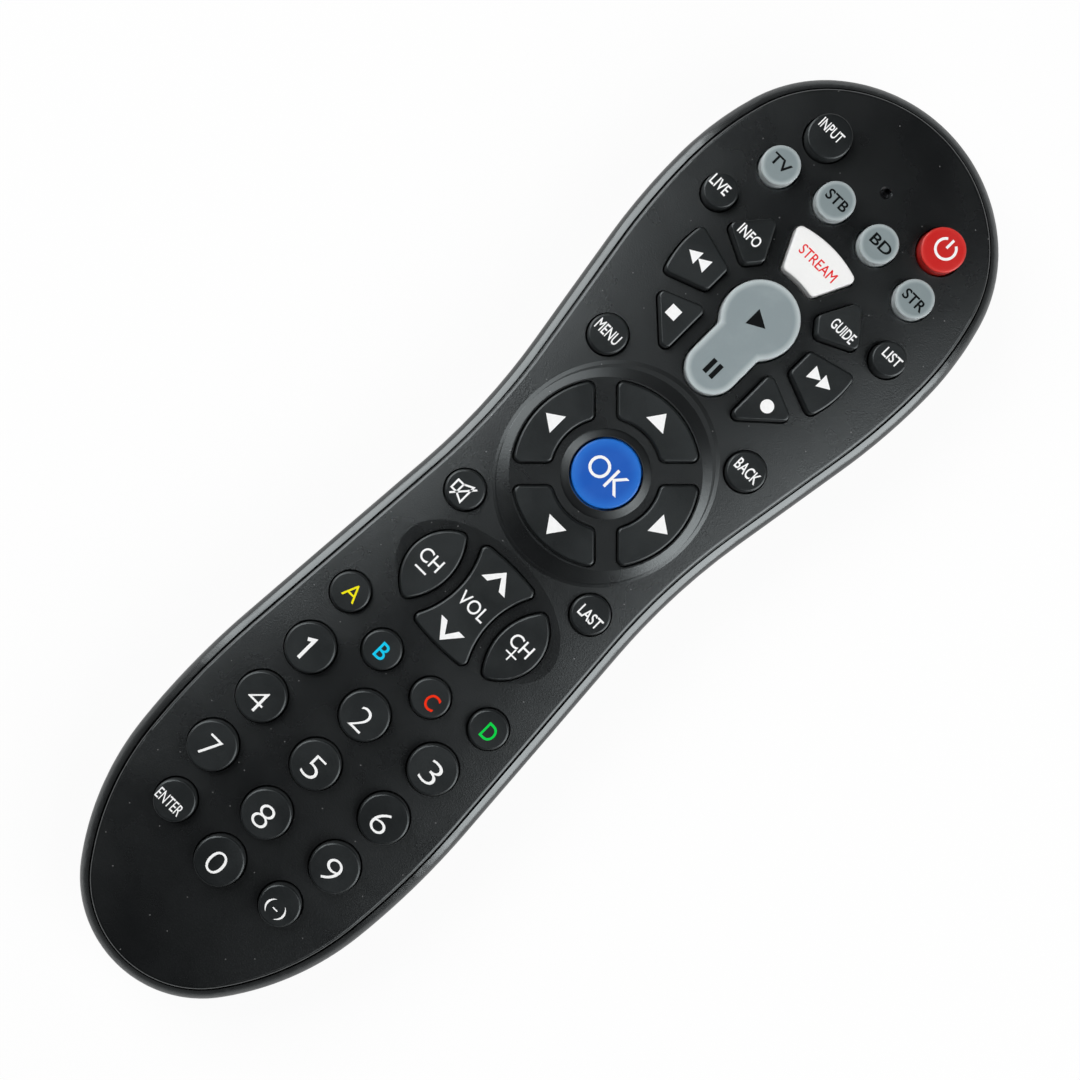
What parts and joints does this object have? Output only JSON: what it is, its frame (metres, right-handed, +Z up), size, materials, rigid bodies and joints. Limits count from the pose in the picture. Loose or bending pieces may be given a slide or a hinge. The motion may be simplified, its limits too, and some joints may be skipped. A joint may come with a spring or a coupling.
{
  "type": "remote control",
  "caption": "Hand-held infrared remote control with a waisted case, rubber keys, a direction pad and a sliding battery door.",
  "frame": {"origin": "under the middle of the case, on the surface it rests on", "axes": "+Z up out of the keys, +Y towards the head with the infrared window, +X to the right with the head up"},
  "size_m": [0.059, 0.2, 0.0258],
  "materials": {
    "black_key": "matt silicone rubber with printed white marks",
    "grey_key": "translucent grey silicone rubber, dark marks",
    "red_key": "satin silicone rubber",
    "white_key": "satin silicone rubber, red mark",
    "blue_key": "satin silicone rubber, white mark",
    "face_plate": "fine spark-eroded matt ABS",
    "housing": "satin to gloss ABS",
    "ir_window": "dark infrared-clear plastic",
    "circuit_board": "green lacquered glass fibre board",
    "keypad_mat": "silicone rubber",
    "led": "clear epoxy",
    "battery_cell": "plain printed sleeve",
    "spring_steel": "nickel plated steel wire",
    "contact_plate": "nickel plated steel strip",
    "screw": "dark zinc plated steel",
    "chip": "moulded epoxy",
    "capacitor": "sleeved can",
    "resonator": "dipped ceramic"
  },
  "bodies": {
    "case": {"face_plate": "face_plate", "front_housing": "housing", "rear_housing": "housing", "ir_window": "ir_window", "circuit_board": "circuit_board", "keypad_mat": "keypad_mat", "status_led": "led", "ir_emitters": "led", "battery_cells": "battery_cell", "battery_springs": "spring_steel", "battery_contacts": "contact_plate", "housing_screws": "screw", "controller_chip": "chip", "supply_capacitor": "capacitor", "timing_resonator": "resonator"},
    "battery_door": {"battery_door": "housing"},
    "volume_rocker": {"volume_rocker": "black_key"},
    "play_pause_rocker": {"play_pause_rocker": "grey_key"},
    "power_key": {"power_key": "red_key"},
    "input_key": {"input_key": "black_key"},
    "tv_key": {"tv_key": "grey_key"},
    "set_top_box_key": {"set_top_box_key": "grey_key"},
    "disc_player_key": {"disc_player_key": "grey_key"},
    "streamer_key": {"streamer_key": "grey_key"},
    "live_key": {"live_key": "black_key"},
    "list_key": {"list_key": "black_key"},
    "stream_key": {"stream_key": "white_key"},
    "info_key": {"info_key": "black_key"},
    "guide_key": {"guide_key": "black_key"},
    "rewind_key": {"rewind_key": "black_key"},
    "forward_key": {"forward_key": "black_key"},
    "stop_key": {"stop_key": "black_key"},
    "record_key": {"record_key": "black_key"},
    "menu_key": {"menu_key": "black_key"},
    "back_key": {"back_key": "black_key"},
    "up_key": {"up_key": "black_key"},
    "left_key": {"left_key": "black_key"},
    "ok_key": {"ok_key": "blue_key"},
    "right_key": {"right_key": "black_key"},
    "down_key": {"down_key": "black_key"},
    "mute_key": {"mute_key": "black_key"},
    "last_key": {"last_key": "black_key"},
    "channel_down_key": {"channel_down_key": "black_key"},
    "channel_up_key": {"channel_up_key": "black_key"},
    "a_key": {"a_key": "black_key"},
    "b_key": {"b_key": "black_key"},
    "c_key": {"c_key": "black_key"},
    "d_key": {"d_key": "black_key"},
    "digit_1_key": {"digit_1_key": "black_key"},
    "digit_2_key": {"digit_2_key": "black_key"},
    "digit_3_key": {"digit_3_key": "black_key"},
    "digit_4_key": {"digit_4_key": "black_key"},
    "digit_5_key": {"digit_5_key": "black_key"},
    "digit_6_key": {"digit_6_key": "black_key"},
    "digit_7_key": {"digit_7_key": "black_key"},
    "digit_8_key": {"digit_8_key": "black_key"},
    "digit_9_key": {"digit_9_key": "black_key"},
    "enter_key": {"enter_key": "black_key"},
    "digit_0_key": {"digit_0_key": "black_key"},
    "dash_key": {"dash_key": "black_key"}
  },
  "joints": [
    {"name": "battery_door_slide", "type": "slide", "parent": "case", "child": "battery_door", "axis": [0, -1, 0], "range_m": [0, 0.082]},
    {"name": "volume_rocker_tilt", "type": "hinge", "parent": "case", "child": "volume_rocker", "pos_m": [0, -0.0139, 0.01982], "axis": [1, 0, 0], "range_deg": [-4.5, 4.5], "stiffness_Nm_per_rad": 0.03},
    {"name": "play_pause_rocker_tilt", "type": "hinge", "parent": "case", "child": "play_pause_rocker", "pos_m": [0, 0.049, 0.01881], "axis": [1, 0, 0], "range_deg": [-3.5, 3.5], "stiffness_Nm_per_rad": 0.03},
    {"name": "power_press", "type": "slide", "parent": "case", "child": "power_key", "axis": [0, 0, -1], "range_m": [0, 0.0012], "stiffness_N_per_m": 400, "springref_m": -0.001},
    {"name": "input_press", "type": "slide", "parent": "case", "child": "input_key", "axis": [0, 0, -1], "range_m": [0, 0.0012], "stiffness_N_per_m": 400, "springref_m": -0.001},
    {"name": "tv_press", "type": "slide", "parent": "case", "child": "tv_key", "axis": [0, 0, -1], "range_m": [0, 0.0012], "stiffness_N_per_m": 400, "springref_m": -0.001},
    {"name": "set_top_box_press", "type": "slide", "parent": "case", "child": "set_top_box_key", "axis": [0, 0, -1], "range_m": [0, 0.0012], "stiffness_N_per_m": 400, "springref_m": -0.001},
    {"name": "disc_player_press", "type": "slide", "parent": "case", "child": "disc_player_key", "axis": [0, 0, -1], "range_m": [0, 0.0012], "stiffness_N_per_m": 400, "springref_m": -0.001},
    {"name": "streamer_press", "type": "slide", "parent": "case", "child": "streamer_key", "axis": [0, 0, -1], "range_m": [0, 0.0012], "stiffness_N_per_m": 400, "springref_m": -0.001},
    {"name": "live_press", "type": "slide", "parent": "case", "child": "live_key", "axis": [0, 0, -1], "range_m": [0, 0.0012], "stiffness_N_per_m": 400, "springref_m": -0.001},
    {"name": "list_press", "type": "slide", "parent": "case", "child": "list_key", "axis": [0, 0, -1], "range_m": [0, 0.0012], "stiffness_N_per_m": 400, "springref_m": -0.001},
    {"name": "stream_press", "type": "slide", "parent": "case", "child": "stream_key", "axis": [0, 0, -1], "range_m": [0, 0.0012], "stiffness_N_per_m": 400, "springref_m": -0.001},
    {"name": "info_press", "type": "slide", "parent": "case", "child": "info_key", "axis": [0, 0, -1], "range_m": [0, 0.0012], "stiffness_N_per_m": 400, "springref_m": -0.001},
    {"name": "guide_press", "type": "slide", "parent": "case", "child": "guide_key", "axis": [0, 0, -1], "range_m": [0, 0.0012], "stiffness_N_per_m": 400, "springref_m": -0.001},
    {"name": "rewind_press", "type": "slide", "parent": "case", "child": "rewind_key", "axis": [0, 0, -1], "range_m": [0, 0.0012], "stiffness_N_per_m": 400, "springref_m": -0.001},
    {"name": "forward_press", "type": "slide", "parent": "case", "child": "forward_key", "axis": [0, 0, -1], "range_m": [0, 0.0012], "stiffness_N_per_m": 400, "springref_m": -0.001},
    {"name": "stop_press", "type": "slide", "parent": "case", "child": "stop_key", "axis": [0, 0, -1], "range_m": [0, 0.0012], "stiffness_N_per_m": 400, "springref_m": -0.001},
    {"name": "record_press", "type": "slide", "parent": "case", "child": "record_key", "axis": [0, 0, -1], "range_m": [0, 0.0012], "stiffness_N_per_m": 400, "springref_m": -0.001},
    {"name": "menu_press", "type": "slide", "parent": "case", "child": "menu_key", "axis": [0, 0, -1], "range_m": [0, 0.0012], "stiffness_N_per_m": 400, "springref_m": -0.001},
    {"name": "back_press", "type": "slide", "parent": "case", "child": "back_key", "axis": [0, 0, -1], "range_m": [0, 0.0012], "stiffness_N_per_m": 400, "springref_m": -0.001},
    {"name": "up_press", "type": "slide", "parent": "case", "child": "up_key", "axis": [0, 0, -1], "range_m": [0, 0.0012], "stiffness_N_per_m": 400, "springref_m": -0.001},
    {"name": "left_press", "type": "slide", "parent": "case", "child": "left_key", "axis": [0, 0, -1], "range_m": [0, 0.0012], "stiffness_N_per_m": 400, "springref_m": -0.001},
    {"name": "ok_press", "type": "slide", "parent": "case", "child": "ok_key", "axis": [0, 0, -1], "range_m": [0, 0.0012], "stiffness_N_per_m": 400, "springref_m": -0.001},
    {"name": "right_press", "type": "slide", "parent": "case", "child": "right_key", "axis": [0, 0, -1], "range_m": [0, 0.0012], "stiffness_N_per_m": 400, "springref_m": -0.001},
    {"name": "down_press", "type": "slide", "parent": "case", "child": "down_key", "axis": [0, 0, -1], "range_m": [0, 0.0012], "stiffness_N_per_m": 400, "springref_m": -0.001},
    {"name": "mute_press", "type": "slide", "parent": "case", "child": "mute_key", "axis": [0, 0, -1], "range_m": [0, 0.0012], "stiffness_N_per_m": 400, "springref_m": -0.001},
    {"name": "last_press", "type": "slide", "parent": "case", "child": "last_key", "axis": [0, 0, -1], "range_m": [0, 0.0012], "stiffness_N_per_m": 400, "springref_m": -0.001},
    {"name": "channel_down_press", "type": "slide", "parent": "case", "child": "channel_down_key", "axis": [0, 0, -1], "range_m": [0, 0.0012], "stiffness_N_per_m": 400, "springref_m": -0.001},
    {"name": "channel_up_press", "type": "slide", "parent": "case", "child": "channel_up_key", "axis": [0, 0, -1], "range_m": [0, 0.0012], "stiffness_N_per_m": 400, "springref_m": -0.001},
    {"name": "a_press", "type": "slide", "parent": "case", "child": "a_key", "axis": [0, 0, -1], "range_m": [0, 0.0012], "stiffness_N_per_m": 400, "springref_m": -0.001},
    {"name": "b_press", "type": "slide", "parent": "case", "child": "b_key", "axis": [0, 0, -1], "range_m": [0, 0.0012], "stiffness_N_per_m": 400, "springref_m": -0.001},
    {"name": "c_press", "type": "slide", "parent": "case", "child": "c_key", "axis": [0, 0, -1], "range_m": [0, 0.0012], "stiffness_N_per_m": 400, "springref_m": -0.001},
    {"name": "d_press", "type": "slide", "parent": "case", "child": "d_key", "axis": [0, 0, -1], "range_m": [0, 0.0012], "stiffness_N_per_m": 400, "springref_m": -0.001},
    {"name": "digit_1_press", "type": "slide", "parent": "case", "child": "digit_1_key", "axis": [0, 0, -1], "range_m": [0, 0.0012], "stiffness_N_per_m": 400, "springref_m": -0.001},
    {"name": "digit_2_press", "type": "slide", "parent": "case", "child": "digit_2_key", "axis": [0, 0, -1], "range_m": [0, 0.0012], "stiffness_N_per_m": 400, "springref_m": -0.001},
    {"name": "digit_3_press", "type": "slide", "parent": "case", "child": "digit_3_key", "axis": [0, 0, -1], "range_m": [0, 0.0012], "stiffness_N_per_m": 400, "springref_m": -0.001},
    {"name": "digit_4_press", "type": "slide", "parent": "case", "child": "digit_4_key", "axis": [0, 0, -1], "range_m": [0, 0.0012], "stiffness_N_per_m": 400, "springref_m": -0.001},
    {"name": "digit_5_press", "type": "slide", "parent": "case", "child": "digit_5_key", "axis": [0, 0, -1], "range_m": [0, 0.0012], "stiffness_N_per_m": 400, "springref_m": -0.001},
    {"name": "digit_6_press", "type": "slide", "parent": "case", "child": "digit_6_key", "axis": [0, 0, -1], "range_m": [0, 0.0012], "stiffness_N_per_m": 400, "springref_m": -0.001},
    {"name": "digit_7_press", "type": "slide", "parent": "case", "child": "digit_7_key", "axis": [0, 0, -1], "range_m": [0, 0.0012], "stiffness_N_per_m": 400, "springref_m": -0.001},
    {"name": "digit_8_press", "type": "slide", "parent": "case", "child": "digit_8_key", "axis": [0, 0, -1], "range_m": [0, 0.0012], "stiffness_N_per_m": 400, "springref_m": -0.001},
    {"name": "digit_9_press", "type": "slide", "parent": "case", "child": "digit_9_key", "axis": [0, 0, -1], "range_m": [0, 0.0012], "stiffness_N_per_m": 400, "springref_m": -0.001},
    {"name": "enter_press", "type": "slide", "parent": "case", "child": "enter_key", "axis": [0, 0, -1], "range_m": [0, 0.0012], "stiffness_N_per_m": 400, "springref_m": -0.001},
    {"name": "digit_0_press", "type": "slide", "parent": "case", "child": "digit_0_key", "axis": [0, 0, -1], "range_m": [0, 0.0012], "stiffness_N_per_m": 400, "springref_m": -0.001},
    {"name": "dash_press", "type": "slide", "parent": "case", "child": "dash_key", "axis": [0, 0, -1], "range_m": [0, 0.0012], "stiffness_N_per_m": 400, "springref_m": -0.001}
  ]
}
